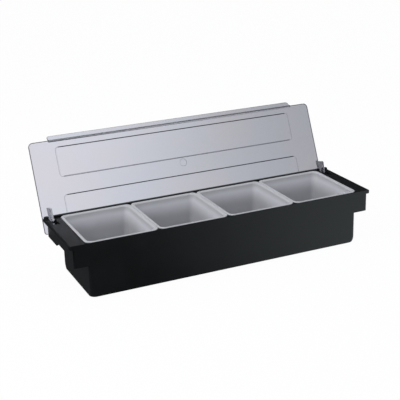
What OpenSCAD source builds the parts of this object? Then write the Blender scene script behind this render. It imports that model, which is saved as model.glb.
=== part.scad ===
// Bar condiment caddy: a long moulded tray that carries four lift-out
// inserts under one clear lid, hinged on two pins at the back corners.
// +X runs along the tray, +Y to the back, +Z up. The origin is on the
// floor, under the middle of the tray. The lid is drawn open, leaning
// back until its tail rests on the rear wall of the tray.

/* [Tray] */
// Overall length over the end flanges
body_len = 491; // [460:1:530]
// Depth from the front face to the edge of the back lip
body_depth = 127.5; // [120:0.5:145]
// Height from the base to the top of the flange
body_h = 83; // [76:1:95]
// Wall thickness of the tub
wall = 2; // [1.6:0.1:2.4]
// Thickness of the tub floor
floor_t = 2.5; // [2:0.1:4]
// Radius of the upright corners of the tub
tub_corner_r = 3.5; // [3:0.5:10]
// Reach of each end flange past the end wall of the tub
wing_reach = 26.7; // [24:0.1:34]
// Height of the skirt under the flange, from the top
skirt_h = 33.8; // [28:0.2:40]
// Thickness of the end skirts
skirt_t = 2.5; // [2:0.1:3]
// Thickness of the flange
flange_t = 3; // [2.5:0.1:4]
// Depth of the rolled edge at the ends of the flange
roll_h = 6.2; // [5:0.1:7.5]
// Radius of the rolled edge
roll_r = 3; // [1.5:0.1:3]
// Overhang of the flange past the end skirts
lip_over = 5.5; // [3:0.5:7]
// Overhang of the back lip past the rear wall
back_lip = 4.95; // [4:0.05:6]
// Width of the ledge inside the rear wall that the inserts hang on
back_ledge = 2.3; // [1.5:0.1:3]
// Radius of the outer corners of the flange
flange_corner_r = 2.5; // [1:0.5:5]
// Radius of the upright corners of the tray's skirts
skirt_corner_r = 2; // [1:0.25:3]
// Height of the bead along the back lip above the flange
bead_h = 2.6; // [1.5:0.1:2.6]
// Width of the bead
bead_w = 6.15; // [5:0.05:7]
// Chamfer on the rear edge of the bead
bead_chamfer = 1.2; // [0.6:0.1:1.5]
// Set-back of the bead's ends from the ends of the tray
bead_inset = 2; // [0.5:0.5:4]
// Front end of the hand notch in the end skirt, from the front face
notch_front = 3; // [2:0.5:8]
// Rear end of the hand notch, where the skirt steps down
notch_rear = 72.5; // [60:0.5:80]
// Rise of the hand notch above the lower edge of the front skirt
notch_rise = 11.2; // [8:0.1:14]
// Rise of the skirt behind the notch above the lower edge of the front skirt
rear_rise = 5.2; // [0:0.2:6]
// Length of the sloping step behind the notch
step_len = 9.5; // [3:0.5:12]

/* [Hinge] */
// Distance of the pin axis in front of the edge of the back lip
pin_inset = 8.25; // [8:0.05:9]
// Depth of the pin axis below the top of the flange
pin_drop = 5.5; // [5:0.1:6]
// Diameter of the hinge pins
pin_d = 4; // [3:0.1:4.4]
// Radial clearance of the pins in their holes
pin_clear = 0.06; // [0.03:0.01:0.1]
// Width of the slot that each lid ear turns in
slot_w = 8.5; // [7:0.1:9]
// Distance of the slot's front end from the pin axis
slot_reach = 25.5; // [25.5:0.5:30]
// Thickness of the bearing wall inside each slot
bearing_t = 3; // [2:0.1:4]

/* [Lid] */
// Set-back of each end of the lid from the end of the tray
lid_inset = 4.7; // [1.5:0.1:6]
// Thickness of the lid sheet
lid_t = 2.6; // [2:0.1:3]
// Distance from the pin axis to the inner face of the lid
lid_drop = 11.35; // [11:0.05:12]
// Reach of the closed lid past the front face
lid_overhang = 3.1; // [1:0.05:5]
// Reach of the lid's tail behind the pin axis
lid_tail = 16.7; // [15:0.1:18]
// Radius of the lid's free corners
lid_corner_r = 7; // [3:0.5:12]
// Radius of the lid's tail corners
lid_tail_corner_r = 4; // [2:0.5:8]
// Offset of the lid's sheet from the middle of its ears, to the left
sheet_offset = 3.7; // [0:0.1:4]
// Gap between the tail of the open lid and the rear wall
stop_gap = 0.35; // [0.3:0.05:0.6]
// Thickness of the two ears
ear_t = 3; // [2:0.1:3.2]
// Reach of each ear in front of the pin axis, at the lid
ear_front = 23.2; // [20:0.1:24]
// Reach of the ear's toe in front of the pin axis
ear_toe = 20; // [14:0.2:20]
// Depth of the ear's toe below the pin axis
ear_toe_depth = 8.5; // [7:0.5:15]
// Chamfer of the ear's toe
ear_chamfer = 1.5; // [0.5:0.5:3]
// Radius of the ear round the pin
ear_r = 6; // [5:0.1:7]
// Reach of each ear behind the pin axis, at the lid
ear_back = 10; // [8:0.5:12]

/* [Lid details] */
// Distance of the finger lip's ends from the ends of the lid
lip_margin = 31.8; // [12:0.1:60]
// Width of the finger lip on its slope
lip_w = 11.3; // [6:0.1:12]
// Angle of the finger lip to the sheet
lip_angle = 45; // [30:5:60]
// Thickness of the finger lip
lip_t = 2.2; // [1.6:0.1:2.6]
// Radius of the finger lip's free corners
lip_corner_r = 4; // [1:0.5:6]
// Distance of the two raised panels from the ends of the lid
panel_end_margin = 39.9; // [26:0.1:60]
// Height of the raised panels above the outer face
panel_rise = 0.9; // [0.5:0.1:1.2]
// Corner radius of the raised panels
panel_corner_r = 5.5; // [3:0.5:10]
// Distance of the raised panels from the free edge
panel_margin = 11.2; // [8:0.1:14]
// Distance of the raised panels from the tail
panel_tail_margin = 8.7; // [6:0.1:14]
// Distance between the two raised panels
panel_gap = 27.2; // [20:0.2:28]
// Diameter of the round moulding mark, midway along the lid
gate_d = 11.5; // [4:0.5:12]
// Distance of the mark's middle from the panel nearer the free edge
gate_margin = 8; // [6.5:0.5:13]
// Height of the moulding mark
gate_rise = 0.4; // [0.2:0.1:0.8]

/* [Inserts] */
// Height of the space under the inserts, above the tub floor
under_gap = 7.5; // [2:0.5:12]
// Wall thickness of an insert
insert_wall = 1.4; // [1.2:0.1:2]
// Floor thickness of an insert
insert_floor = 1.8; // [1.2:0.1:2.4]
// Gap between an insert and the tub or ledge beside it
insert_clear = 0.4; // [0.3:0.05:0.8]
// Slope of an insert's walls, as the loss of width on each side
insert_taper = 6; // [4:0.5:8]
// Radius of an insert's upright corners at the rim
insert_corner_r = 9; // [6:0.5:12]
// Radius of the edge between an insert's walls and its floor
insert_floor_r = 5; // [3:0.5:7]
// Height of the rims above the flange
rim_h = 1.5; // [1.2:0.1:2.2]
// Corner radius of the rims
rim_corner_r = 8; // [3:0.5:8.5]
// Distance that the end rims reach past the inside of the tub
rim_land = 4.2; // [4:0.1:6]
// Overhang of the rims past the sides of an insert
rim_over = 3.6; // [3:0.1:4]
// Gap between neighbouring rims
rim_gap = 0.4; // [0.3:0.05:0.6]
// Set-back of the rims behind the front face
rim_setback = 0.25; // [0:0.05:0.6]

/* [Hidden] */
insert_count = 4;           // one for each insert node
$fn = 64;
cut = 1;                    // overrun of every cutting shape
layer = 0.05;               // thickness of the slices that a hull joins
ear_steps = 6;              // flats round the lower end of an ear
seat_gap = 0.02;            // running gap at the ends of a pin

// tray
front_y = -body_depth / 2;
lip_y = body_depth / 2;
rear_y = lip_y - back_lip;
end_x = body_len / 2;
tub_x = end_x - wing_reach;
skirt_x = end_x - lip_over;
flange_z = body_h - flange_t;
skirt_z = body_h - skirt_h;
notch_z = skirt_z + notch_rise;
rear_skirt_z = skirt_z + rear_rise;
roll_z = body_h - roll_h;
ledge_y = rear_y - wall - back_ledge;
bead_y = lip_y - bead_w;
bead_z = body_h + bead_h;
bead_x = end_x - bead_inset;

// hinge
pin_y = lip_y - pin_inset;
pin_z = body_h - pin_drop;
pin_r = pin_d / 2;
hole_r = pin_r + pin_clear;
slot_out_x = skirt_x - skirt_t;
slot_in_x = slot_out_x - slot_w;
slot_y = pin_y - slot_reach;
bearing_in_x = slot_in_x - bearing_t;
bearing_z = pin_z - lid_drop - pin_r;
pin_in_x = bearing_in_x + seat_gap;
pin_out_x = skirt_x - seat_gap;
ear_x = (slot_in_x + slot_out_x) / 2;

// inserts
tub_in_x = tub_x - wall;
rims_len = 2 * (tub_in_x + rim_land);
pitch = rims_len / insert_count;
rim_x = (pitch - rim_gap) / 2;
rim_front = front_y + rim_setback;
rim_rear = bead_y - rim_gap;
rim_z = body_h + rim_h;
cup_front = front_y + wall + insert_clear;
cup_rear = ledge_y - insert_clear;
cup_x = rim_x - rim_over;
cup_y = (cup_rear - cup_front) / 2;
cup_mid_y = (cup_rear + cup_front) / 2;
cup_z = floor_t + under_gap;
slope = insert_taper / (body_h - cup_z);

// the end walls of the tub step out under the flange, where the inserts
// are at their widest
seat_in_x = (rims_len - rim_gap) / 2 - rim_over + insert_clear;
seat_x = seat_in_x + wall;
shoulder_z = body_h - (seat_in_x - tub_in_x) / slope - cut;

// lid
lid_len = body_len - 2 * lid_inset;
lid_reach = pin_y - front_y + lid_overhang;
sheet_z = lid_drop + lid_t;
lip_len = lid_len - 2 * lip_margin;
panel_len = lid_len - 2 * panel_end_margin;
panel_w = (lid_reach + lid_tail - panel_margin - panel_gap - panel_tail_margin) / 2;

// the lid leans back until its tail meets the rear wall
tail_r = sqrt(pow(lid_drop, 2) + pow(lid_tail, 2));
open_tilt = acos((rear_y + stop_gap - pin_y) / tail_r) - atan(lid_tail / lid_drop);

// Rectangle from a to b with corner radii r1 on its low-Y and r2 on its
// high-Y side
module round_rect(a, b, r1, r2) {
    difference() {
        translate(a) square(b - a);
        for (sx = [0, 1], sy = [0, 1]) {
            r = sy == 0 ? r1 : r2;
            corner = [sx == 0 ? a[0] : b[0], sy == 0 ? a[1] : b[1]];
            inward = [sx == 0 ? 1 : -1, sy == 0 ? 1 : -1];
            translate(corner) corner_waste(inward, r);
        }
    }
}

// The waste outside a rounded corner at the origin, with the rectangle
// on the side that inward points to
module corner_waste(inward, r) {
    difference() {
        translate([inward[0] > 0 ? -cut : -r, inward[1] > 0 ? -cut : -r]) square(r + cut);
        translate(inward * r) circle(r);
    }
}

// Both ends of the tray
module at_ends() {
    for (side = [0, 1]) mirror([side, 0, 0]) children();
}

// An outline in the YZ plane, given a thickness from x0 to x1
module side_plate(x0, x1) {
    translate([x0, 0, 0]) rotate([90, 0, 90]) linear_extrude(x1 - x0) children();
}

// ---- Tray ----

// Block of the tub's plan, shrunk by inset, with half length x
module tub_block(x, inset, z0, z1) {
    r = tub_corner_r - inset;
    translate([0, 0, z0]) linear_extrude(z1 - z0)
        round_rect([-x, front_y + inset], [x, rear_y - inset], r, r);
}

module tub_shell() {
    difference() {
        union() {
            tub_block(tub_x, 0, 0, body_h);
            tub_block(seat_x, 0, shoulder_z - wall, body_h);
        }
        tub_block(tub_in_x, wall, floor_t, body_h + cut);
        tub_block(seat_in_x, wall, shoulder_z, body_h + cut);
    }
}

// Flat flange with the opening for the inserts
module flange() {
    translate([0, 0, flange_z]) linear_extrude(flange_t) difference() {
        translate([-skirt_x, front_y]) square([2 * skirt_x, body_depth]);
        round_rect([-seat_in_x, front_y + wall], [seat_in_x, ledge_y],
            tub_corner_r - wall, tub_corner_r - wall);
    }
}

// Rolled edge along the end of the flange, past the skirt
module rolled_edge() {
    translate([0, lip_y, 0]) rotate([90, 0, 0]) linear_extrude(body_depth) difference() {
        translate([skirt_x - skirt_t, roll_z]) square([lip_over + skirt_t, roll_h]);
        translate([end_x, body_h]) corner_waste([-1, -1], roll_r);
        translate([end_x, roll_z]) corner_waste([-1, 1], roll_r);
    }
}

// Front wall carried out under both flanges, flush with the tub
module front_skirt() {
    translate([-skirt_x, front_y, skirt_z]) cube([2 * skirt_x, wall, skirt_h - cut]);
}

// Skirt at one end, with the hand notch
module end_skirt() {
    side_plate(skirt_x - skirt_t, skirt_x) polygon([
        [front_y, skirt_z],
        [front_y + notch_front, skirt_z],
        [front_y + notch_front, notch_z],
        [front_y + notch_rear, notch_z],
        [front_y + notch_rear + step_len, rear_skirt_z],
        [rear_y, rear_skirt_z],
        [rear_y, body_h - cut],
        [front_y, body_h - cut]
    ]);
}

// Rear wall carried out to the slot, the bearing wall beside the slot and
// the wall across the slot's front end
module hinge_walls() {
    translate([tub_x - wall, rear_y - wall, rear_skirt_z])
        cube([slot_in_x - tub_x + wall, wall, body_h - cut - rear_skirt_z]);
    translate([bearing_in_x, slot_y - wall, bearing_z]) {
        cube([bearing_t, rear_y - slot_y + wall, body_h - cut - bearing_z]);
        cube([skirt_x - bearing_in_x - cut, wall, body_h - cut - bearing_z]);
    }
}

// Bead along the back lip
module back_bead() {
    side_plate(-bead_x, bead_x) polygon([
        [bead_y, flange_z],
        [lip_y, flange_z],
        [lip_y, bead_z - bead_chamfer],
        [lip_y - bead_chamfer, bead_z],
        [bead_y, bead_z]
    ]);
}

// Slot that a lid ear turns in, open at the back
module ear_slot() {
    translate([slot_in_x, slot_y, bearing_z])
        cube([slot_w, lip_y - slot_y + cut, bead_z + cut - bearing_z]);
}

// Hole for a hinge pin, through the bearing wall, the skirt and the rolled
// edge, so that the pin goes in from the end of the tray
module pin_hole() {
    translate([bearing_in_x - cut, pin_y, pin_z]) rotate([0, 90, 0])
        cylinder(h = end_x - bearing_in_x + 2 * cut, r = hole_r);
}

// Waste outside the upright corners of the skirt and the rolled edge
module skirt_corners() {
    translate([skirt_x, front_y, skirt_z - cut]) linear_extrude(roll_z - skirt_z + cut)
        corner_waste([-1, 1], skirt_corner_r);
    for (y = [front_y, lip_y]) translate([end_x, y, roll_z - cut])
        linear_extrude(bead_z - roll_z + 2 * cut)
            corner_waste([-1, y < 0 ? 1 : -1], flange_corner_r);
}

module tray_body() {
    color([0.08, 0.085, 0.09]) difference() {
        union() {
            tub_shell();
            flange();
            front_skirt();
            back_bead();
            at_ends() {
                rolled_edge();
                end_skirt();
                hinge_walls();
            }
        }
        at_ends() {
            skirt_corners();
            ear_slot();
            pin_hole();
        }
    }
}

// ---- Inserts ----

// Rounded block that fills an insert: half sizes x and y at the top, the
// taper, and the corner radii
module cup_block(x, y, top_z, low_z, top_r, floor_r) {
    hull() for (sx = [-1, 1], sy = [-1, 1]) {
        translate([sx * (x - top_r), sy * (y - top_r), top_z - layer])
            cylinder(h = layer, r = top_r, $fn = 32);
        for (a = [0, 30, 60, 90]) {
            z = low_z + floor_r * (1 - cos(a));
            r = top_r - floor_r * (1 - sin(a));
            inset = top_r + slope * (top_z - z);
            translate([sx * (x - inset), sy * (y - inset), z]) cylinder(h = layer, r = r, $fn = 32);
        }
    }
}

module insert(i) {
    mid_x = (i - (insert_count - 1) / 2) * pitch;
    color([0.78, 0.79, 0.81]) translate([mid_x, 0, 0]) difference() {
        union() {
            translate([0, 0, body_h]) linear_extrude(rim_h)
                round_rect([-rim_x, rim_front], [rim_x, rim_rear], rim_corner_r, rim_corner_r);
            translate([0, cup_mid_y, 0])
                cup_block(cup_x, cup_y, body_h + cut, cup_z, insert_corner_r, insert_floor_r);
        }
        translate([0, cup_mid_y, 0])
            cup_block(cup_x - insert_wall, cup_y - insert_wall, rim_z + cut,
                cup_z + insert_floor, insert_corner_r - insert_wall, insert_floor_r - insert_wall);
    }
}

// ---- Lid ----

// The lid is drawn level, with the pin axis on the X axis, the free edge
// towards -Y and the outer face up
module lid_sheet() {
    translate([0, 0, lid_drop]) linear_extrude(lid_t)
        round_rect([-lid_len / 2, -lid_reach], [lid_len / 2, lid_tail],
            lid_corner_r, lid_tail_corner_r);
}

// Block of a raised panel's outline, larger all round by grow, from z up;
// the panel starts at a distance from the free edge
module raised_panel(start, grow, z, h) {
    y0 = start - lid_reach;
    translate([0, 0, z]) linear_extrude(h)
        round_rect([-panel_len / 2 - grow, y0 - grow], [panel_len / 2 + grow, y0 + panel_w + grow],
            panel_corner_r + grow, panel_corner_r + grow);
}

// Lip that slopes up off the free edge, rooted in the sheet's edge
module finger_lip() {
    root = lid_t / 2;
    translate([0, -lid_reach, sheet_z - lid_t / 2]) rotate([-lip_angle, 0, 0]) linear_extrude(lip_t)
        round_rect([-lip_len / 2, -lip_w], [lip_len / 2, root], lip_corner_r, root / 2);
}

// Direction from the pin axis to the point where a line from p touches the
// round end of the ear, turned to one side
function touch(p, side) = atan2(p[1], p[0]) + side * acos(ear_r / norm(p));

// Ear that hangs from the sheet and narrows to a round end about the pin
module ear() {
    toe = [-ear_toe, -ear_toe_depth];
    sole = toe + [ear_chamfer, 0];
    heel = [ear_back, lid_drop];
    from = touch(sole, 1);
    to = touch(heel, -1);
    side_plate(ear_x - ear_t / 2, ear_x + ear_t / 2) difference() {
        polygon(concat(
            [
                [ear_back, lid_drop + cut],
                [-ear_front, lid_drop + cut],
                [-ear_front, lid_drop],
                toe + [0, ear_chamfer],
                sole
            ],
            [for (i = [0:ear_steps]) let (a = from + (to - from) * i / ear_steps)
                ear_r * [cos(a), sin(a)]],
            [heel]
        ));
        circle(hole_r);
    }
}

// Sheet with its finger lip, raised panels and moulding mark
module lid_plate() {
    panel_starts = [panel_margin, panel_margin + panel_w + panel_gap];
    gate_y = panel_starts[0] + panel_w + gate_margin - lid_reach;
    difference() {
        union() {
            lid_sheet();
            finger_lip();
            for (start = panel_starts) raised_panel(start, 0, sheet_z - cut, cut + panel_rise);
            translate([0, gate_y, sheet_z - cut]) cylinder(h = cut + gate_rise, d = gate_d);
        }
        for (start = panel_starts) raised_panel(start, -panel_rise, lid_drop - cut, cut + panel_rise);
    }
}

module lid() {
    color([0.62, 0.62, 0.66, 0.6])
        translate([0, pin_y, pin_z]) rotate([-90 - open_tilt, 0, 0]) {
            translate([-sheet_offset, 0, 0]) lid_plate();
            at_ends() ear();
        }
}

// ---- Hinge pins ----

module hinge_pin() {
    color([0.7, 0.71, 0.72]) translate([pin_in_x, pin_y, pin_z]) rotate([0, 90, 0])
        cylinder(h = pin_out_x - pin_in_x, r = pin_r);
}

module right_hinge_pin() {
    hinge_pin();
}

module left_hinge_pin() {
    mirror([1, 0, 0]) hinge_pin();
}

tray_body();
for (i = [0:insert_count - 1]) insert(i);
lid();
left_hinge_pin();
right_hinge_pin();
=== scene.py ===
"""Bar condiment caddy: a black tray, four milky inserts and a smoky flip lid."""

import math

import bmesh
import bpy
from bpy.props import (
    FloatProperty,
    FloatVectorProperty,
    IntProperty,
    PointerProperty,
)
from mathutils import Matrix, Vector


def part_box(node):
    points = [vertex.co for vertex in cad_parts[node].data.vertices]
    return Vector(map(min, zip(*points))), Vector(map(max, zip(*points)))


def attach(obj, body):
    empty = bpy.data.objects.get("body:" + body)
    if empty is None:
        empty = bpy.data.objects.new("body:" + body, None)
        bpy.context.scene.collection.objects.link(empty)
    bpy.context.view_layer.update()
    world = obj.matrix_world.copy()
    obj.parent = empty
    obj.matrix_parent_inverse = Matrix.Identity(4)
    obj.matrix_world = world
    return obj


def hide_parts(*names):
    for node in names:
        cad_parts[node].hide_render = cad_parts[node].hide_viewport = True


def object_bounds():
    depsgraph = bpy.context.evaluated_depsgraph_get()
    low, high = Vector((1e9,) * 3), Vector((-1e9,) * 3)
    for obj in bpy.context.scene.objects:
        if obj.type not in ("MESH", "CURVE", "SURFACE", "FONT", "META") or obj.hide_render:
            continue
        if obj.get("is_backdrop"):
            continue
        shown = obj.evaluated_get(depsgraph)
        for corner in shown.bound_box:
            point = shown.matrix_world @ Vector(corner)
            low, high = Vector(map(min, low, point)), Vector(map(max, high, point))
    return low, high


bl_info = {
    "name": "Bar Condiment Caddy",
    "version": (1, 0, 0),
    "blender": (4, 5, 0),
    "location": "View3D > Sidebar > Caddy",
    "description": "Builds a bar condiment caddy with inserts and a flip lid",
    "category": "Add Mesh",
}

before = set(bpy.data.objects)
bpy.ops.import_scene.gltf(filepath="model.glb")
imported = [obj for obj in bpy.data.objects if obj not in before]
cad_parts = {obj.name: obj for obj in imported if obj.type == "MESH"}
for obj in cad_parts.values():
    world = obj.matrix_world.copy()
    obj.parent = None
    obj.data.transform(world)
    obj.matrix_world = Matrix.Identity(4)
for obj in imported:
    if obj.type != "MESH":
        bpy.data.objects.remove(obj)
CAD_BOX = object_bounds()

MM = 0.001
QUARTER = math.pi / 2
INSERTS = ("insert_1", "insert_2", "insert_3", "insert_4")
PINS = ("left_hinge_pin", "right_hinge_pin")
# The lid's face attribute that holds the painted shade and reflection on its edges, steps, mark, lip and
# ears.
PAINTED_SHADE_ATTRIBUTE = "edge"

# Lengths under FLAT count as nothing, and points closer than WELD are merged.
FLAT = 0.01 * MM
WELD = 0.002 * MM
# CAD faces that meet at less than COPLANAR are one, and edges blunter than BLUNT aren't rounded.
COPLANAR = math.radians(0.6)
BLUNT = math.radians(30)
# Of edges that leave a vertex closer together than SIDE_BY_SIDE, none is rounded.
SIDE_BY_SIDE = math.radians(15)
# The cosine from which two directions count as the same.
SAME_WAY = 0.999
# Faces across each quarter turn in an insert's section.
ARC_STEPS = 6

LAMP_TARGET = (0, 0, 0.05)
# The directions, in x and y, in which the floor's two cards change their tone.
CARD_RUN = (0.91, -0.41)
SHINE_RUN = (1.0, 0.3)
# The share of red, green and blue in the card that glossy plastic mirrors.
SHINE_TINT = (0.92, 1.0, 1.03)
# How far up the sky its low tone starts to change, and where it has become the high one.
SKY_TURN = (0.1, 0.6)


# ---- Sizes and colours ----


def length(name, text, default):
    return FloatProperty(name=name, description=text, default=default, subtype="DISTANCE", unit="LENGTH")


def level(name, text, default, high=1.0):
    return FloatProperty(name=name, description=text, default=default, min=0, max=high)


def count(name, text, default, low, high):
    return IntProperty(name=name, description=text, default=default, min=low, max=high)


def colour(name, text, default):
    return FloatVectorProperty(
        name=name, description=text, default=default, subtype="COLOR", size=3, min=0, max=1
    )


def tones(name, text, default):
    return FloatVectorProperty(name=name, description=text, default=default, size=4, min=0, max=1)


def direction(name, text, default):
    return FloatVectorProperty(name=name, description=text, default=default, subtype="XYZ")


class CaddyTraySizes(bpy.types.PropertyGroup):
    edge_round: length("Edge round", "Radius of the tray's moulded edges", 0.5 * MM)
    edge_steps: count("Edge steps", "Faces across a moulded edge", 3, 1, 8)
    foot_round: length("Foot round", "Radius of the edge round the tray's bottom", 1.5 * MM)
    foot_steps: count("Foot steps", "Faces across the foot's round", 4, 2, 16)
    corner_round: length("Corner round", "Radius of the foot's corners, seen from above", 10 * MM)
    corner_rise: length("Corner rise", "Height up to which the foot's corners are rounder", 10 * MM)
    corner_steps: count("Corner steps", "Rings up the foot's corners", 8, 2, 16)
    tub_corner: length("Tub corner", "Corner radius of the tray's walls", 3.5 * MM)
    wall: length("Wall", "Wall thickness of the tray", 2 * MM)
    rest_in: length("Rib, inner end", "From the tray's middle to the ribs under the pins", 228.5 * MM)
    rest_out: length("Rib, outer end", "From the tray's middle to the ribs' outer ends", 231.2 * MM)
    rest_w: length("Rib width", "Width of the ribs under the pins", 4 * MM)
    rest_h: length("Rib height", "Height of the ribs, from the pins' axis down", 8.5 * MM)
    hole_zone: length("Hole zone", "Radius of the zone round a pin in which edges stay sharp", 3 * MM)


class CaddyInsertSizes(bpy.types.PropertyGroup):
    rim_t: length("Rim thickness", "Height of the rim's edge", 1.5 * MM)
    rim_sides: length("Rim at the sides", "Overhang of the rim past the cup's sides", 3.6 * MM)
    rim_front: length("Rim at the front", "Overhang of the rim past the cup's front", 2.15 * MM)
    rim_back: length("Rim at the back", "Overhang of the rim past the cup's back", 3.1 * MM)
    rim_corner: length("Rim corner", "Corner radius of a rim", 8 * MM)
    rim_edge: length("Rim edge", "Radius of the rim's outer edge", 0.7 * MM)
    cup_corner: length("Cup corner", "Corner radius of a cup", 9 * MM)
    wall: length("Wall", "Wall thickness of a cup", 1.4 * MM)
    floor_t: length("Floor thickness", "Thickness of a cup's floor", 1.8 * MM)
    floor_round: length("Floor round", "Radius between a cup's walls and its floor", 5 * MM)
    mouth_round: length("Mouth round", "Radius of the edge of the cup's mouth", 2.4 * MM)
    taper: length("Taper", "Loss of width of a cup on each side, from rim to floor", 6 * MM)
    corner_steps: count("Corner steps", "Faces round each corner", 10, 3, 24)
    rim_fade: length("Rim fade", "Depth over which the rim's tone turns into the walls'", 10 * MM)
    # Painted shade in the cups: the depths below the rim at which it starts and where it is full.
    painted_shade_start: length("Light depth", "Depth at which the walls are lightest", 0.5 * MM)
    painted_shade_depth: length("Dark depth", "Depth at which the walls are darkest", 30.5 * MM)


class CaddyLidSizes(bpy.types.PropertyGroup):
    border_round: length("Border round", "Radius of the edges of the sheet, the lip and the ears", 1.0 * MM)
    border_steps: count("Border steps", "Faces across a rounded edge", 4, 1, 8)
    panel_round: length("Panel round", "Radius of the edges of the raised panels", 0.34 * MM)
    mark_round: length("Mark round", "Radius of the edges of the moulding mark", 0.18 * MM)
    border_w: length("Border", "Width of the sheet's border outside the raised panels", 4.5 * MM)
    panel_margin: length("Panel margin", "Distance of the panels from the free edge", 11.2 * MM)
    panel_gap: length("Panel gap", "Distance between the two panels", 27.2 * MM)
    panel_tail: length("Panel tail", "Distance of the panels from the tail", 8.7 * MM)
    mark_r: length("Mark zone", "Radius of the zone round the moulding mark", 8 * MM)
    hole_zone: length("Hole zone", "Radius of the zone round a pin in which edges stay sharp", 3 * MM)
    drop: length("Drop", "Distance of the sheet's inner face from the pins' axis", 11.35 * MM)
    lip_half: length("Lip half", "Half the length of the finger lip", 208 * MM)
    thin: length("Thin faces", "Width under which a face counts as an edge", 3.2 * MM)
    # Painted shade and reflection on the lid: how dark its edges, steps, mark, lip and ears are painted.
    mark_painted_shade: level("Mark tone", "Darkness of the mark's edge", 1.0)
    border_painted_shade: tones(
        "Border tone", "Darkness of the sheet's left, right, tail and free edge", (0.85, 0.8, 0.6, 0.9)
    )
    panel_painted_shade: tones(
        "Panel tone", "Darkness of the panels' left, right, tail and free edge", (0.1, 0.0, 0.0, 0.15)
    )
    other_painted_shade: tones(
        "Other tone",
        "Darkness of the ears' faces, the ears' edges, the lip's edge and the lip's root",
        (0.5, 0.15, 0.15, 0.4),
    )


class CaddyPinSizes(bpy.types.PropertyGroup):
    chamfer: length("Chamfer", "Chamfer on the pin's ends", 0.4 * MM)
    dimple: length("Dimple", "Depth of the turned centre mark in each end", 0.5 * MM)
    sides: count("Sides", "Faces round a pin", 40, 12, 96)


class CaddyFinishes(bpy.types.PropertyGroup):
    tray: colour("Tray", "Black plastic of the tray", (0.0056, 0.0068, 0.0073))
    insert_rim: colour("Insert rim", "Milky plastic where it is thick, at the rim", (0.53, 0.535, 0.55))
    insert_wall: colour("Insert wall", "Milky plastic where it is thin, in the walls", (0.80, 0.80, 0.835))
    insert_cloud: colour("Insert cloud", "Paler patches in the milky plastic", (0.9, 0.9, 0.92))
    # Painted shade in the cups: lightness of the walls where it is darkest.
    insert_painted_shade: level("Insert depth", "Lightness of the walls at their darkest, beside their top", 0.54)
    lid: colour("Lid", "Cool tint of the lid's smoky plastic", (0.725, 0.752, 0.84))
    lid_warm: colour("Lid, warm", "Warm tint of the lid's smoky plastic", (0.76, 0.746, 0.815))
    # Painted shade and reflection: dark plastic painted onto the lid's edges, steps and ears.
    lid_painted_shade: colour("Lid edge", "Plastic of the lid seen through its edges", (0.075, 0.075, 0.09))
    pin: colour("Pin", "Blackened steel of the hinge pins", (0.045, 0.045, 0.05))


class CaddyStageSettings(bpy.types.PropertyGroup):
    lens: FloatProperty(name="Lens", description="Focal length of the camera", default=86.37, unit="CAMERA")
    camera_place: FloatVectorProperty(
        name="Camera place",
        description="Where the camera stands",
        default=(-0.5817, -1.2444, 0.5776),
        subtype="TRANSLATION",
        unit="LENGTH",
    )
    camera_right: direction("Camera's right", "Direction to the picture's right", (0.9064, -0.4216, -0.0275))
    camera_up: direction("Camera's up", "Direction to the picture's top", (0.1648, 0.293, 0.9418))
    floor_size: length("Floor size", "Side of the square floor", 12.0)
    floor_gap: length("Floor gap", "Gap between the floor and the tray's bottom", 0.3 * MM)
    floor: colour("Floor", "White paper of the floor", (0.9, 0.9, 0.9))
    floor_white: level("Floor white", "Share of plain white in the floor that the camera sees", 0.97)
    card_start: length("Card start", "Place across the floor where the lid's card starts to darken", -0.36)
    card_end: length("Card end", "Place across the floor where the lid's card is darkest", 0.26)
    card_left: level("Card at the left", "Lightness behind the lid at the left", 0.92)
    card_right: level("Card at the right", "Lightness behind the lid at the right", 0.5)
    shine_start: length("Shine start", "Place across the floor where the mirrored card is darkest", -0.2)
    shine_end: length("Shine end", "Place across the floor where the mirrored card is brightest", 0.26)
    shine_left: level("Shine at the left", "Strength of the mirrored card at the left", 0.12, 2.0)
    shine_right: level("Shine at the right", "Strength of the mirrored card at the right", 1.5, 2.0)
    sky: colour("Sky", "Colour of the soft light all round", (0.92, 0.94, 1.0))
    sky_strength: level("Sky strength", "Strength of the soft light all round", 0.6)
    sky_glossy: level("Sky in gloss", "Strength of the sky that glossy plastic mirrors", 0.07)
    sky_low: colour("Sky, low", "What the lid shows at the horizon", (0.92, 0.92, 0.92))
    sky_high: colour("Sky, high", "What the lid shows overhead", (0.75, 0.75, 0.77))


# ---- Node helpers ----


class Sock:
    """Wraps a node socket, so that maths on values reads as Python."""

    def __init__(self, graph, socket):
        self.graph = graph
        self.socket = socket

    def maths(self, operation, *values):
        return self.graph.node("ShaderNodeMath", {"operation": operation}, dict(enumerate(values)))

    def __add__(self, other):
        return self.maths("ADD", self, other)

    def __radd__(self, other):
        return self.maths("ADD", other, self)

    def __sub__(self, other):
        return self.maths("SUBTRACT", self, other)

    def __rsub__(self, other):
        return self.maths("SUBTRACT", other, self)

    def __mul__(self, other):
        return self.maths("MULTIPLY", self, other)

    def __rmul__(self, other):
        return self.maths("MULTIPLY", other, self)

    def __truediv__(self, other):
        return self.maths("DIVIDE", self, other)

    def __rtruediv__(self, other):
        return self.maths("DIVIDE", other, self)

    def floor(self):
        return self.maths("FLOOR", self)

    def sign(self):
        return self.maths("SIGN", self)

    def sin(self):
        return self.maths("SINE", self)

    def cos(self):
        return self.maths("COSINE", self)


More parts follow.
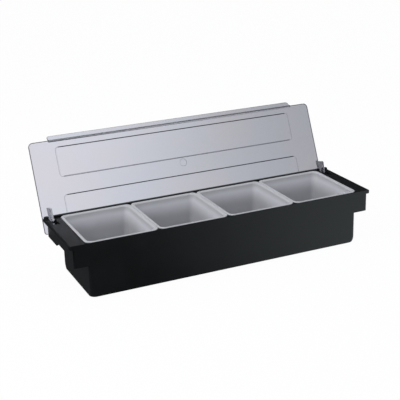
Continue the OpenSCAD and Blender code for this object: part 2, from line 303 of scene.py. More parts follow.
class Graph:
    """A node tree, to which node() adds any node: its type, its settings, its sockets."""

    def __init__(self, tree):
        self.tree = tree

    def node(self, kind, settings=None, sockets=None, out=0):
        """Adds a node, sets and links it, and wraps one of its outputs."""
        node = self.tree.nodes.new(kind)
        for key, value in (settings or {}).items():
            setattr(node, key, value)
        for key, value in (sockets or {}).items():
            self.plug(node.inputs[key], value)
        return Sock(self, node.outputs[out]) if node.outputs else node

    def plug(self, target, value):
        if isinstance(value, Sock):
            self.tree.links.new(value.socket, target)
        else:
            target.default_value = value

    def other(self, sock, name):
        """Another output of the node that sock comes from."""
        return Sock(self, sock.socket.node.outputs[name])

    def split(self, vector):
        x = self.node("ShaderNodeSeparateXYZ", None, {0: vector})
        return x, self.other(x, "Y"), self.other(x, "Z")

    def join_colour(self, red, green, blue):
        return self.node("ShaderNodeCombineColor", None, {0: red, 1: green, 2: blue})

    def mix_colour(self, factor, a, b):
        return self.node("ShaderNodeMix", {"data_type": "RGBA"}, {0: factor, 6: a, 7: b}, out=2)

    def mix_shader(self, factor, a, b):
        return self.node("ShaderNodeMixShader", None, {0: factor, 1: a, 2: b})

    def noise(self, vector, scale, detail=3.0, roughness=0.5):
        return self.node(
            "ShaderNodeTexNoise",
            None,
            {"Vector": vector, "Scale": scale, "Detail": detail, "Roughness": roughness},
        )

    def ramp(self, factor, low, high, a=0.0, b=1.0):
        """factor from low to high, mapped smoothly to a..b."""
        return self.node(
            "ShaderNodeMapRange",
            {"interpolation_type": "SMOOTHSTEP"},
            {"Value": factor, "From Min": low, "From Max": high, "To Min": a, "To Max": b},
        )

    def patches(self, cloud):
        """The same clouds with clearer edges."""
        return self.ramp(cloud, 0.3, 0.7)

    def bump(self, height, strength, distance):
        return self.node(
            "ShaderNodeBump", None, {"Height": height, "Strength": strength, "Distance": distance}
        )

    def object_coords(self):
        return self.node("ShaderNodeTexCoord", None, None, out="Object")

    def stretched(self, vector, scale):
        return self.node("ShaderNodeMapping", None, {"Vector": vector, "Scale": scale})

    def principled(self, sockets):
        return self.node("ShaderNodeBsdfPrincipled", None, sockets)

    def set_surface(self, shader):
        self.node("ShaderNodeOutputMaterial", None, {"Surface": shader})


def rgba(three, lightness=1.0):
    """A colour with its alpha, made lighter or darker."""
    return (*[c * lightness for c in three], 1.0)


def new_material(name):
    """A material with an empty tree, and the tree's graph."""
    material = bpy.data.materials.new(name)
    material.use_nodes = True
    material.node_tree.nodes.clear()
    return material, Graph(material.node_tree)


# ---- Materials ----


def tray_plastic(finish):
    """Black moulded plastic with a fine spark texture and slight scuffs."""
    material, g = new_material("tray_plastic")
    place = g.object_coords()
    grain = g.noise(place, scale=2600.0, detail=2.0, roughness=0.6)
    cloud = g.noise(place, scale=22.0)
    scuff = g.noise(g.stretched(place, (14.0, 14.0, 120.0)), scale=6.0, detail=4.0, roughness=0.6)
    plastic = g.principled(
        {
            "Base Color": g.mix_colour(g.patches(cloud), rgba(finish.tray, 0.85), rgba(finish.tray, 1.2)),
            "Roughness": 0.38 + 0.10 * cloud + 0.06 * scuff,
            "IOR": 1.45,
            "Specular IOR Level": 0.33,
            "Normal": g.bump(grain + 0.4 * cloud, strength=0.15, distance=0.2 * MM),
        }
    )
    g.set_surface(plastic)
    return material


def insert_plastic(finish, sizes, rim_top):
    """Milky plastic: its own tone at the thick rim, and painted shade that darkens the walls with depth."""
    material, g = new_material("insert_plastic")
    place = g.object_coords()
    z = g.split(place)[2]
    cloud = g.noise(place, scale=30.0)
    grain = g.noise(place, scale=900.0, detail=2.0)
    at_rim = g.ramp(z + 4 * MM * cloud, rim_top - sizes.rim_fade, rim_top)
    # Painted shade: the walls darken from their top down into the cup, as shade in its depth.
    high = g.ramp(z + 6 * MM * cloud, rim_top - sizes.painted_shade_depth, rim_top - sizes.painted_shade_start)
    shade = g.mix_colour(high, rgba(finish.insert_wall, finish.insert_painted_shade), rgba(finish.insert_wall))
    shade = g.mix_colour(at_rim, shade, rgba(finish.insert_rim))
    shade = g.mix_colour(0.08 * cloud, shade, rgba(finish.insert_cloud))
    plastic = g.principled(
        {
            "Base Color": shade,
            "Roughness": 0.42 + 0.12 * cloud,
            "IOR": 1.5,
            "Specular IOR Level": 0.3,
            "Normal": g.bump(grain + 0.6 * cloud, strength=0.08, distance=0.2 * MM),
        }
    )
    g.set_surface(plastic)
    return material


def lid_plastic(finish):
    """Smoky clear plastic with a faint moulded ripple, and painted shade and reflection along its edges and
    on its ears.
    Light that passes it straight on is only tinted, so that its shadow is soft."""
    material, g = new_material("lid_plastic")
    place = g.object_coords()
    edge = g.node("ShaderNodeAttribute", {"attribute_name": PAINTED_SHADE_ATTRIBUTE}, None, out="Fac")
    cloud = g.noise(place, scale=9.0)
    ripple = g.noise(g.stretched(place, (1.0, 3.0, 3.0)), scale=30.0, detail=2.0)
    bumps = g.bump(ripple, strength=0.05, distance=0.5 * MM)
    clear = g.principled(
        {
            "Base Color": g.mix_colour(g.patches(cloud), rgba(finish.lid), rgba(finish.lid_warm)),
            "Roughness": 0.03 + 0.03 * cloud,
            "IOR": 1.49,
            "Transmission Weight": 1.0,
            "Normal": bumps,
        }
    )
    # Painted shade and reflection: dark plastic mixed in where the face attribute says, on edges, steps and
    # ears.
    painted_shade_plastic = g.principled(
        {
            "Base Color": g.mix_colour(cloud, rgba(finish.lid_painted_shade), rgba(finish.lid_painted_shade, 1.3)),
            "Roughness": 0.3 + 0.1 * cloud,
            "IOR": 1.49,
            "Specular IOR Level": 0.3,
            "Normal": bumps,
        }
    )
    shadow = g.node("ShaderNodeLightPath", None, None, out="Is Shadow Ray")
    passed = g.node("ShaderNodeBsdfTransparent", None, {"Color": rgba(finish.lid)})
    g.set_surface(g.mix_shader(shadow, g.mix_shader(edge, clear, painted_shade_plastic), passed))
    return material


def pin_steel(finish):
    """Blackened drawn steel with fine turning marks."""
    material, g = new_material("pin_steel")
    marks = g.noise(g.stretched(g.object_coords(), (900.0, 90.0, 90.0)), scale=4.0)
    steel = g.principled(
        {
            "Base Color": g.mix_colour(marks, rgba(finish.pin, 0.8), rgba(finish.pin)),
            "Metallic": 1.0,
            "Roughness": 0.35 + 0.2 * marks,
            "Normal": g.bump(marks, strength=0.1, distance=0.1 * MM),
        }
    )
    g.set_surface(steel)
    return material


# ---- Mesh helpers ----


def add_object(name, data):
    obj = bpy.data.objects.new(name, data)
    bpy.context.scene.collection.objects.link(obj)
    return obj


def clean_copy(node, name):
    """A copy of a CAD node's mesh as an object, with flat faces made whole."""
    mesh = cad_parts[node].data.copy()
    mesh.name = name
    mesh.materials.clear()
    bm = bmesh.new()
    bm.from_mesh(mesh)
    bmesh.ops.remove_doubles(bm, verts=bm.verts, dist=WELD)
    bmesh.ops.dissolve_limit(
        bm, angle_limit=COPLANAR, verts=bm.verts, edges=bm.edges, use_dissolve_boundaries=False
    )
    for face in bm.faces:
        face.smooth = False
    bm.to_mesh(mesh)
    bm.free()
    if "UVMap" in mesh.attributes:
        mesh.attributes.remove(mesh.attributes["UVMap"])
    if mesh.has_custom_normals:
        mesh.normals_split_custom_set([(0, 0, 0)] * len(mesh.loops))
    return add_object(name, mesh)


def pin_axis():
    """A point in the middle of the pins' axis."""
    low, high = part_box(PINS[0])
    middle = (low + high) / 2
    return Vector((0, middle.y, middle.z))


def weigh_edges(mesh, rule):
    """Bevel weights: 0 on blunt edges, else what rule says of the edge's ends."""
    bm = bmesh.new()
    bm.from_mesh(mesh)
    layer = bm.edges.layers.float.new("bevel_weight_edge")
    for edge in bm.edges:
        blunt = edge.calc_face_angle(0.0) < BLUNT
        edge[layer] = 0.0 if blunt else rule([v.co for v in edge.verts])
    bm.to_mesh(mesh)
    bm.free()


def add_bevel(obj, width, segments):
    bevel = obj.modifiers.new("edges", "BEVEL")
    bevel.width = width
    bevel.segments = segments
    bevel.limit_method = "WEIGHT"
    bevel.use_clamp_overlap = False
    bevel.miter_outer = "MITER_ARC"


def bake_modifiers(obj):
    """Turns an object with modifiers into one with a plain mesh."""
    bpy.context.view_layer.update()
    graph = bpy.context.evaluated_depsgraph_get()
    mesh = bpy.data.meshes.new_from_object(obj.evaluated_get(graph), depsgraph=graph)
    obj.modifiers.clear()
    old = obj.data
    obj.data = mesh
    bpy.data.meshes.remove(old)


def set_smooth(obj, angle):
    """Smooth shading, but sharp at edges steeper than the angle."""
    obj.data.shade_smooth()
    obj.data.set_sharp_from_angle(angle=math.radians(angle))


def weigh_normals(obj):
    """Bakes normals that follow the broad faces, so that they shade flat."""
    normals = obj.modifiers.new("normals", "WEIGHTED_NORMAL")
    normals.keep_sharp = True
    normals.weight = 80
    bake_modifiers(obj)


# ---- Pieces ----


class CADDY_OT_tray(bpy.types.Operator):
    """Builds the black tray with rounded moulded edges"""

    bl_idname = "caddy.tray"
    bl_label = "Tray"

    def execute(self, context):
        sizes = context.scene.caddy_tray
        tray = clean_copy("tray_body", "tray")
        axis = pin_axis()

        def rule(ends):
            at_foot = max(e.z for e in ends) < FLAT
            at_hole = all((e - axis).yz.length < sizes.hole_zone for e in ends)
            return 0.0 if at_foot or at_hole else 1.0

        weigh_edges(tray.data, rule)
        self.spare_edges(tray.data)
        add_bevel(tray, sizes.edge_round, sizes.edge_steps)
        bake_modifiers(tray)
        self.round_foot(tray.data, sizes)
        self.add_rests(tray.data, axis, sizes)
        set_smooth(tray, angle=35.0)
        weigh_normals(tray)
        tray.data.materials.append(tray_plastic(context.scene.caddy_finish))
        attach(tray, "tray")
        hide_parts("tray_body")
        return {"FINISHED"}

    @staticmethod
    def spare_edges(mesh):
        """Takes the weight off what a bevel would push out of shape: inner edges,
        and edges that leave a vertex almost side by side."""
        bm = bmesh.new()
        bm.from_mesh(mesh)
        layer = bm.edges.layers.float["bevel_weight_edge"]
        for vert in bm.verts:
            sharp = [(e, e.other_vert(vert).co - vert.co) for e in vert.link_edges if e[layer] > 0]
            for i, (a, along) in enumerate(sharp):
                for b, beside in sharp[i + 1 :]:
                    if along.angle(beside) < SIDE_BY_SIDE:
                        a[layer] = b[layer] = 0.0
        for edge in bm.edges:
            if not edge.is_convex:
                edge[layer] = 0.0
        bm.to_mesh(mesh)
        bm.free()

    @classmethod
    def round_foot(cls, mesh, sizes):
        """Rounds the edge and the corners of the tray's bottom: rings and upright
        lines are cut low in the walls, and their vertices move in."""
        bm = bmesh.new()
        bm.from_mesh(mesh)
        foot = [v.co.xy for v in bm.verts if v.co.z < FLAT]
        low = Vector([min(c[i] for c in foot) for i in range(2)])
        high = Vector([max(c[i] for c in foot) for i in range(2)])
        middle, half = (low + high) / 2, (high - low) / 2
        cls.cut_rings(bm, sizes)
        cls.cut_corners(bm, middle, half, sizes)
        start = half - Vector((sizes.tub_corner, sizes.tub_corner))
        for vert in bm.verts:
            away = vert.co.xy - middle
            side = Vector([math.copysign(1, a) for a in away])
            away = away * side
            core = Vector([min(a, s) for a, s in zip(away, start)])
            inner = (away - core).length < sizes.tub_corner - sizes.wall / 2
            if inner or vert.co.z > sizes.corner_rise - FLAT:
                continue
            share = 1 - vert.co.z / sizes.corner_rise
            radius = sizes.tub_corner + (sizes.corner_round - sizes.tub_corner) * share**2
            below = max(sizes.foot_round - vert.co.z, 0)
            inset = sizes.foot_round - math.sqrt(sizes.foot_round**2 - below**2)
            core = Vector([min(a, h - radius) for a, h in zip(away, half)])
            vert.co.xy = middle + (core + (away - core).normalized() * (radius - inset)) * side
        bm.to_mesh(mesh)
        bm.free()

    @classmethod
    def cut_rings(cls, bm, sizes):
        """Cuts level rings into the walls: close ones for the foot's edge, then even ones."""
        heights = [
            sizes.foot_round * (1 - math.sin(i / sizes.foot_steps * QUARTER))
            for i in range(1, sizes.foot_steps)
        ]
        step = (sizes.corner_rise - sizes.foot_round) / sizes.corner_steps
        heights += [sizes.foot_round + i * step for i in range(sizes.corner_steps + 1)]
        for height in heights:
            walls = [f for f in bm.faces if min(v.co.z for v in f.verts) < 2 * sizes.corner_rise]
            cls.cut(bm, walls, (0, 0, height), (0, 0, 1))

    @classmethod
    def cut_corners(cls, bm, middle, half, sizes):
        """Cuts upright lines beside the corners, below the height where they are rounder."""
        step = (sizes.corner_round - sizes.tub_corner) / sizes.corner_steps
        for i in range(sizes.corner_steps):
            reach = sizes.tub_corner + (i + 1) * step
            for axis in range(2):
                for side in (-1, 1):
                    place, normal = Vector(), Vector()
                    place[axis] = middle[axis] + side * (half[axis] - reach)
                    normal[axis] = 1
                    low = [f for f in bm.faces if all(v.co.z < sizes.corner_rise + FLAT for v in f.verts)]
                    cls.cut(bm, low, place, normal)

    @staticmethod
    def cut(bm, faces, place, normal):
        """Cuts some of the faces along a plane."""
        edges = {e for f in faces for e in f.edges}
        verts = {v for f in faces for v in f.verts}
        bmesh.ops.bisect_plane(bm, geom=[*faces, *edges, *verts], plane_co=place, plane_no=normal)

    @staticmethod
    def add_rests(mesh, axis, sizes):
        """A rib under each pin, beside the lid's ear."""
        bm = bmesh.new()
        bm.from_mesh(mesh)
        size = Matrix.Diagonal((sizes.rest_out - sizes.rest_in, sizes.rest_w, sizes.rest_h, 1.0))
        for side in (-1, 1):
            middle = Vector((side * (sizes.rest_in + sizes.rest_out) / 2, 0, -sizes.rest_h / 2))
            bmesh.ops.create_cube(bm, size=1.0, matrix=Matrix.Translation(axis + middle) @ size)
        bm.to_mesh(mesh)
        bm.free()


def insert_section(sizes, top, floor):
    """The insert's section as a curve, from the floor's outside up, over the rim and
    down inside. X says how far a point belongs to the rim's outline (0 to 1), Y is
    its inset and Z its height; a radius of 0 closes the floor."""
    low, edge, mouth, wall = top - sizes.rim_t, sizes.rim_edge, sizes.mouth_round, sizes.wall
    outer_r, inner_r = sizes.floor_round, sizes.floor_round - wall
    low_in = floor + sizes.floor_t
    arc = [i / ARC_STEPS * QUARTER for i in range(ARC_STEPS + 1)]
    points = [(0.0, outer_r, floor, 0.0)]
    points += [(0.0, outer_r * (1 - math.sin(a)), floor + outer_r * (1 - math.cos(a)), 1.0) for a in arc]
    points += [(0.0, 0.0, low, 1.0), (1.0, edge / 2, low, 1.0), (1.0, 0.0, low + edge / 2, 1.0)]
    points += [(1.0, edge * (1 - math.cos(a)), top - edge * (1 - math.sin(a)), 1.0) for a in arc]
    points += [(0.0, wall - mouth * (1 - math.sin(a)), top - mouth * (1 - math.cos(a)), 1.0) for a in arc]
    points += [
        (0.0, wall + inner_r * (1 - math.cos(a)), low_in + inner_r * (1 - math.sin(a)), 1.0) for a in arc
    ]
    points.append((0.0, wall + inner_r, low_in, 0.0))
    curve = bpy.data.curves.new("insert_section", "CURVE")
    curve.dimensions = "3D"
    spline = curve.splines.new("POLY")
    spline.points.add(len(points) - 1)
    for point, (x, y, z, radius) in zip(spline.points, points):
        point.co = (x, y, z, 1.0)
        point.radius = radius
    return add_object("insert_section", curve), len(points)


def insert_tree():
    """Geometry nodes that wrap the section round a rounded rectangle."""
    tree = bpy.data.node_groups.new("insert_cup", "GeometryNodeTree")
    tree.interface.new_socket(name="Geometry", in_out="OUTPUT", socket_type="NodeSocketGeometry")
    inputs = {
        "Section": "NodeSocketObject",
        "Rows": "NodeSocketInt",
        "Corner Steps": "NodeSocketInt",
        "Place": "NodeSocketFloat",
        "Cup Half Length": "NodeSocketFloat",
        "Cup Half Depth": "NodeSocketFloat",
        "Cup Middle": "NodeSocketFloat",
        "Cup Corner": "NodeSocketFloat",
        "Rim Half Length": "NodeSocketFloat",
        "Rim Half Depth": "NodeSocketFloat",
        "Rim Middle": "NodeSocketFloat",
        "Rim Corner": "NodeSocketFloat",
        "Rim Underside": "NodeSocketFloat",
        "Taper": "NodeSocketFloat",
        "Material": "NodeSocketMaterial",
    }
    names = {}
    for name, kind in inputs.items():
        names[name] = tree.interface.new_socket(name=name, in_out="INPUT", socket_type=kind).identifier
    g = Graph(tree)
    first = g.node("NodeGroupInput")

    def given(name):
        return g.other(first, name)

    per_corner = given("Corner Steps") + 1
    around = 4 * per_corner + 1
    grid = g.node("GeometryNodeMeshGrid", None, {"Vertices X": given("Rows"), "Vertices Y": around})
    index = g.node("GeometryNodeInputIndex")
    row = (index / around).floor()
    column = index - row * around
    section = g.node("GeometryNodeObjectInfo", None, {"Object": given("Section")}, out="Geometry")

    def along_section(kind, what):
        return g.node(
            "GeometryNodeSampleIndex",
            {"data_type": kind, "domain": "POINT"},
            {"Geometry": section, "Value": g.node(what), "Index": row},
        )

    point = along_section("FLOAT_VECTOR", "GeometryNodeInputPosition")
    shrink = along_section("FLOAT", "GeometryNodeInputRadius")
    rim, inset, z = g.split(point)
    corner = (column / per_corner).floor()
    turn = (column - corner * per_corner) / given("Corner Steps")
    angle = (corner + turn) * QUARTER
    middle_angle = (corner + 0.5) * QUARTER
    loss = inset + (1 - rim) * given("Taper") * (given("Rim Underside") - z)

    def between(cup, rim_name):
        return given(cup) + rim * (given(rim_name) - given(cup))

    radius = between("Cup Corner", "Rim Corner") - inset
    half_x = between("Cup Half Length", "Rim Half Length") - loss - radius
    half_y = between("Cup Half Depth", "Rim Half Depth") - loss - radius
    x = shrink * (middle_angle.cos().sign() * half_x + radius * angle.cos())
    y = shrink * (middle_angle.sin().sign() * half_y + radius * angle.sin())
    y = y + between("Cup Middle", "Rim Middle")
    place = g.node("ShaderNodeCombineXYZ", None, {0: x + given("Place"), 1: y, 2: z})
    shape = g.node("GeometryNodeSetPosition", None, {"Geometry": grid, "Position": place})
    shape = g.node("GeometryNodeMergeByDistance", None, {"Geometry": shape, "Distance": WELD})
    shape = g.node("GeometryNodeRealizeInstances", None, {"Geometry": shape})
    shape = g.node("GeometryNodeSetMaterial", None, {"Geometry": shape, "Material": given("Material")})
    g.node("NodeGroupOutput", None, {"Geometry": shape})
    return tree, names


class CADDY_OT_inserts(bpy.types.Operator):
    """Builds the four lift-out inserts with geometry nodes"""

    bl_idname = "caddy.inserts"
    bl_label = "Inserts"

    def execute(self, context):
        sizes = context.scene.caddy_inserts
        low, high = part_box(INSERTS[0])
        section, rows = insert_section(sizes, high.z, low.z)
        tree, names = insert_tree()
        material = insert_plastic(context.scene.caddy_finish, sizes, high.z)
        for node in INSERTS:
            low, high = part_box(node)
            middle, half = (low + high) / 2, (high - low) / 2
            cup = add_object(f"{node}_cup", bpy.data.meshes.new(f"{node}_cup"))
            modifier = cup.modifiers.new("cup", "NODES")
            modifier.node_group = tree
            values = {
                "Section": section,
                "Rows": rows,
                "Corner Steps": sizes.corner_steps,
                "Place": middle.x,
                "Cup Half Length": half.x - sizes.rim_sides,
                "Cup Half Depth": half.y - (sizes.rim_front + sizes.rim_back) / 2,
                "Cup Middle": middle.y + (sizes.rim_front - sizes.rim_back) / 2,
                "Cup Corner": sizes.cup_corner,
                "Rim Half Length": half.x,
                "Rim Half Depth": half.y,
                "Rim Middle": middle.y,
                "Rim Corner": sizes.rim_corner,
                "Rim Underside": high.z - sizes.rim_t,
                "Taper": sizes.taper / (high.z - sizes.rim_t - low.z),
                "Material": material,
            }
            for name, value in values.items():
                modifier[names[name]] = value
            bake_modifiers(cup)
            self.turn_outwards(cup.data)
            set_smooth(cup, angle=50.0)
            weigh_normals(cup)
            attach(cup, node)
            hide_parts(node)
        bpy.data.objects.remove(section)
        return {"FINISHED"}

    @staticmethod
    def turn_outwards(mesh):
        bm = bmesh.new()
        bm.from_mesh(mesh)
        bmesh.ops.recalc_face_normals(bm, faces=bm.faces)
        if bm.calc_volume(signed=True) < 0:
            bmesh.ops.reverse_faces(bm, faces=bm.faces)
        bm.to_mesh(mesh)
        bm.free()


class LidPlane:
    """The lid's sheet as a plane: u along the hinge, v towards the free edge and
    h towards the ears, from the pins' axis, with the sheet's rectangle in u and v."""

    def __init__(self, mesh):
        self.axis = pin_axis()
        face = max(mesh.polygons, key=lambda f: f.area)
        self.out = face.normal.copy()
        if self.out.dot(self.axis - face.center) < 0:
            self.out.negate()
        self.along = self.out.cross(Vector((1, 0, 0)))
        if self.along.dot(face.center - self.axis) < 0:
            self.along.negate()
        height = self.place(face.center)[2]
        places = [self.place(v.co) for v in mesh.vertices]
        sheet = [p for p in places if abs(p[2] - height) < FLAT]
        self.low = [min(p[i] for p in sheet) for i in range(2)]
        self.high = [max(p[i] for p in sheet) for i in range(2)]
        self.middle = [(a + b) / 2 for a, b in zip(self.low, self.high)]

    def place(self, point):
        """A point's u, v and h."""
        away = point - self.axis
        return away.x, away.dot(self.along), away.dot(self.out)

    def inside(self, place, border):
        """Whether u and v lie inside the sheet's rectangle, less a border."""
        return all(self.low[i] + border < place[i] < self.high[i] - border for i in range(2))


class CADDY_OT_lid(bpy.types.Operator):
    """Builds the clear lid with its raised panels, finger lip and ears"""

    bl_idname = "caddy.lid"
    bl_label = "Lid"

    def execute(self, context):
        sizes = context.scene.caddy_lid
        lid = clean_copy("lid", "clear_lid")
        plane = LidPlane(lid.data)
        weigh_edges(lid.data, lambda ends: self.edge_weight(ends, plane, sizes))
        add_bevel(lid, sizes.border_round, sizes.border_steps)
        bake_modifiers(lid)
        self.paint_face_shades(lid.data, plane, sizes)
        set_smooth(lid, angle=40.0)
        weigh_normals(lid)
        lid.data.materials.append(lid_plastic(context.scene.caddy_finish))
        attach(lid, "lid")
        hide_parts("lid")
        return {"FINISHED"}

    @staticmethod
    def edge_weight(ends, plane, sizes):
        """Full on the border, less on the panels and the mark, none at the holes."""
        places = [plane.place(end) for end in ends]
        if all(math.hypot(v, h) < sizes.hole_zone for _, v, h in places):
            return 0.0
        if not all(plane.inside(p, sizes.border_w) for p in places):
            return 1.0
        mark = all(abs(p[0] - plane.middle[0]) < sizes.mark_r for p in places)
        return (sizes.mark_round if mark else sizes.panel_round) / sizes.border_round

    @classmethod
    def paint_face_shades(cls, mesh, plane, sizes):
        """Paints shade and reflection onto each face as a darkness: clear on the broad ones."""
        layer = mesh.attributes.new(PAINTED_SHADE_ATTRIBUTE, "FLOAT", "FACE")
        for face in mesh.polygons:
            points = [mesh.vertices[i].co for i in face.vertices]
            around = sum((a - b).length for a, b in zip(points, points[1:] + points[:1]))
            narrow = 2 * face.area < sizes.thin * around
            layer.data[face.index].value = cls.painted_face_shade(face, narrow, plane, sizes)

    @classmethod
    def painted_face_shade(cls, face, narrow, plane, sizes):
        """Painted shade and reflection of one face, by what it belongs to and the way it looks."""
        u, v, h = plane.place(face.center)
        ear, ear_edge, lip, root = sizes.other_painted_shade
        # The ears' faces and edges are painted dark, as shade from the black slot behind them.
        if h > sizes.border_round - sizes.drop:
            return ear_edge if narrow else ear
        if not narrow:
            return 0.0
        if v > plane.high[1] + sizes.border_round:
            return lip
        off_middle = abs(u - plane.middle[0])
        if plane.inside((u, v), sizes.border_w):
            if off_middle < sizes.mark_r and abs(face.normal.dot(plane.out)) < SAME_WAY:
                return sizes.mark_painted_shade
            left, right, tail, free = sizes.panel_painted_shade
            middle = cls.panel_middle(v, plane, sizes)
        else:
            left, right, tail, free = sizes.border_painted_shade
            middle = plane.middle[1]
            if off_middle < sizes.lip_half:
                free = root
        # The painted shade differs by the way each edge faces: left, right, tail or free end.
        across, along = abs(face.normal.x), abs(face.normal.dot(plane.along))
        share = along / max(across + along, FLAT)
        side = left if u < plane.middle[0] else right
        end = free if v > middle else tail
        return share * end + (1 - share) * side

    @staticmethod
    def panel_middle(v, plane, sizes):
        """The middle, in v, of the nearer of the two raised panels."""
        panels = plane.high[1] - plane.low[1] - sizes.panel_margin - sizes.panel_gap - sizes.panel_tail
        first = plane.low[1] + sizes.panel_tail + panels / 4
        second = first + panels / 2 + sizes.panel_gap
        return min(first, second, key=lambda middle: abs(v - middle))


class CADDY_OT_pins(bpy.types.Operator):
    """Builds the two hinge pins, turned and chamfered"""

    bl_idname = "caddy.pins"
    bl_label = "Hinge pins"

    def execute(self, context):
        sizes = context.scene.caddy_pins
        material = pin_steel(context.scene.caddy_finish)
        for node in PINS:
            low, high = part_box(node)
            pin = self.turned(f"{node}_turned", low, high, sizes)
            pin.data.materials.append(material)
            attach(pin, "tray")
            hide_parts(node)
        return {"FINISHED"}

    @staticmethod
    def turned(name, low, high, sizes):
        """A pin along X, spun from its half section."""
        radius = (high.z - low.z) / 2
        middle = (low + high) / 2
        half = (high.x - low.x) / 2
        end = [
            (half - sizes.dimple, 0.0),
            (half, sizes.dimple),
            (half, radius - sizes.chamfer),
            (half - sizes.chamfer, radius),
        ]
        section = end + [(-x, r) for x, r in reversed(end)]
        bm = bmesh.new()
        rings = []
        for x, r in section:
            corners = 1 if r == 0 else sizes.sides
            ring = []
            for i in range(corners):
                a = 2 * math.pi * i / corners
                ring.append(bm.verts.new(middle + Vector((x, r * math.cos(a), r * math.sin(a)))))
            rings.append(ring)
        for a, b in zip(rings, rings[1:]):
            for i in range(sizes.sides):
                j = (i + 1) % sizes.sides
                corners = [a[i % len(a)], a[j % len(a)], b[j % len(b)], b[i % len(b)]]
                bm.faces.new(list(dict.fromkeys(corners)))
        bmesh.ops.recalc_face_normals(bm, faces=bm.faces)
        mesh = bpy.data.meshes.new(name)
        bm.to_mesh(mesh)
        bm.free()
        pin = add_object(name, mesh)
        set_smooth(pin, angle=30.0)
        return pin


# ---- Stage ----


def area_lamp(name, place, size, power):
    lamp = bpy.data.lights.new(name, "AREA")
    lamp.shape = "RECTANGLE"
    lamp.size, lamp.size_y = size
    lamp.energy = power
    obj = add_object(name, lamp)
    aim = Vector(LAMP_TARGET) - Vector(place)
    obj.matrix_world = Matrix.Translation(place) @ aim.to_track_quat("-Z", "Y").to_matrix().to_4x4()
    obj.visible_camera = False


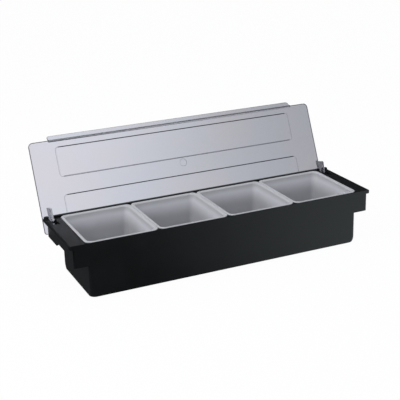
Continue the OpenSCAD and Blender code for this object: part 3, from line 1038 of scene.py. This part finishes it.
class CADDY_OT_stage(bpy.types.Operator):
    """Sets the floor, the backdrop, the lamps and the camera"""

    bl_idname = "caddy.stage"
    bl_label = "Stage"

    def execute(self, context):
        stage = context.scene.caddy_stage
        self.add_floor(stage)
        self.set_world(context.scene, stage)
        area_lamp("key", place=(-1.25, -0.1, 1.1), size=(0.9, 0.9), power=9.0)
        area_lamp("top", place=(0.2, -0.2, 1.7), size=(1.2, 0.6), power=3.5)
        self.add_camera(context.scene, stage)
        context.scene.view_settings.view_transform = "Standard"
        return {"FINISHED"}

    @staticmethod
    def add_floor(stage):
        """White paper with a card on it that only the plastic shows: through the lid it
        runs from light to grey, and in glossy plastic from dark to bright."""
        half = stage.floor_size / 2
        mesh = bpy.data.meshes.new("floor")
        corners = [(-half, -half), (half, -half), (half, half), (-half, half)]
        mesh.from_pydata([(x, y, -stage.floor_gap) for x, y in corners], [], [(0, 1, 2, 3)])
        floor = add_object("floor", mesh)
        material, g = new_material("floor_paper")
        rays = g.node("ShaderNodeLightPath")
        camera = g.other(rays, "Is Camera Ray")
        glossy = g.other(rays, "Is Glossy Ray")
        through = g.other(rays, "Is Transmission Ray")
        x, y, _ = g.split(g.object_coords())
        card_place = CARD_RUN[0] * x + CARD_RUN[1] * y
        card = g.ramp(card_place, stage.card_start, stage.card_end, stage.card_left, stage.card_right)
        shine_place = SHINE_RUN[0] * x + SHINE_RUN[1] * y
        shine = g.ramp(shine_place, stage.shine_start, stage.shine_end, stage.shine_left, stage.shine_right)
        tone = g.mix_colour(glossy, rgba((1, 1, 1)), g.join_colour(*[tint * shine for tint in SHINE_TINT]))
        tone = g.mix_colour(through, tone, g.join_colour(card, card, card))
        paper = g.node("ShaderNodeBsdfDiffuse", None, {"Color": rgba(stage.floor)})
        white = g.node("ShaderNodeEmission", None, {"Color": tone, "Strength": 1.0})
        g.set_surface(g.mix_shader(stage.floor_white * camera + through + glossy, paper, white))
        mesh.materials.append(material)
        floor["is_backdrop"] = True

    @staticmethod
    def set_world(scene, stage):
        """Soft light all round, dimmer in glossy plastic. The camera sees white, and the
        lid shows a pale horizon and a greyer sky."""
        world = bpy.data.worlds.new("studio")
        world.use_nodes = True
        world.node_tree.nodes.clear()
        g = Graph(world.node_tree)
        rays = g.node("ShaderNodeLightPath")
        up = g.split(g.node("ShaderNodeTexCoord", None, None, out="Generated"))[2]
        tone = g.mix_colour(g.ramp(up, *SKY_TURN), rgba(stage.sky_low), rgba(stage.sky_high))
        dimming = stage.sky_strength - stage.sky_glossy
        strength = stage.sky_strength - dimming * g.other(rays, "Is Glossy Ray")

        def backdrop(colour_seen, power):
            return g.node("ShaderNodeBackground", None, {"Color": colour_seen, "Strength": power})

        light = backdrop(rgba(stage.sky), strength)
        clear = g.mix_shader(g.other(rays, "Is Transmission Ray"), light, backdrop(tone, 1.0))
        seen = g.mix_shader(g.other(rays, "Is Camera Ray"), clear, backdrop(rgba((1, 1, 1)), 1.0))
        g.node("ShaderNodeOutputWorld", None, {"Surface": seen})
        scene.world = world

    @staticmethod
    def add_camera(scene, stage):
        camera = bpy.data.cameras.new("camera")
        camera.lens = stage.lens
        obj = add_object("camera", camera)
        right = Vector(stage.camera_right).normalized()
        back = right.cross(Vector(stage.camera_up).normalized()).normalized()
        up = back.cross(right).normalized()
        turn = Matrix((right, up, back)).transposed().to_4x4()
        obj.matrix_world = Matrix.Translation(stage.camera_place) @ turn
        scene.camera = obj


class CADDY_PT_panel(bpy.types.Panel):
    """Lists the caddy's pieces"""

    bl_idname = "CADDY_PT_panel"
    bl_label = "Condiment caddy"
    bl_space_type = "VIEW_3D"
    bl_region_type = "UI"
    bl_category = "Caddy"

    def draw(self, context):
        for operator in (CADDY_OT_tray, CADDY_OT_inserts, CADDY_OT_lid, CADDY_OT_pins, CADDY_OT_stage):
            self.layout.operator(operator.bl_idname)


GROUPS = {
    "caddy_tray": CaddyTraySizes,
    "caddy_inserts": CaddyInsertSizes,
    "caddy_lid": CaddyLidSizes,
    "caddy_pins": CaddyPinSizes,
    "caddy_finish": CaddyFinishes,
    "caddy_stage": CaddyStageSettings,
}
CLASSES = (
    *GROUPS.values(),
    CADDY_OT_tray,
    CADDY_OT_inserts,
    CADDY_OT_lid,
    CADDY_OT_pins,
    CADDY_OT_stage,
    CADDY_PT_panel,
)


def register():
    for cls in CLASSES:
        bpy.utils.register_class(cls)
    for name, cls in GROUPS.items():
        setattr(bpy.types.Scene, name, PointerProperty(type=cls))


def unregister():
    for name in GROUPS:
        delattr(bpy.types.Scene, name)
    for cls in reversed(CLASSES):
        bpy.utils.unregister_class(cls)


def main():
    register()
    bpy.ops.caddy.tray()
    bpy.ops.caddy.inserts()
    bpy.ops.caddy.lid()
    bpy.ops.caddy.pins()
    bpy.ops.caddy.stage()
    boxes = {"cad": CAD_BOX, "visual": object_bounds()}
    {name: [list(corner) for corner in box] for name, box in boxes.items()}


if __name__ == "__main__":
    main()
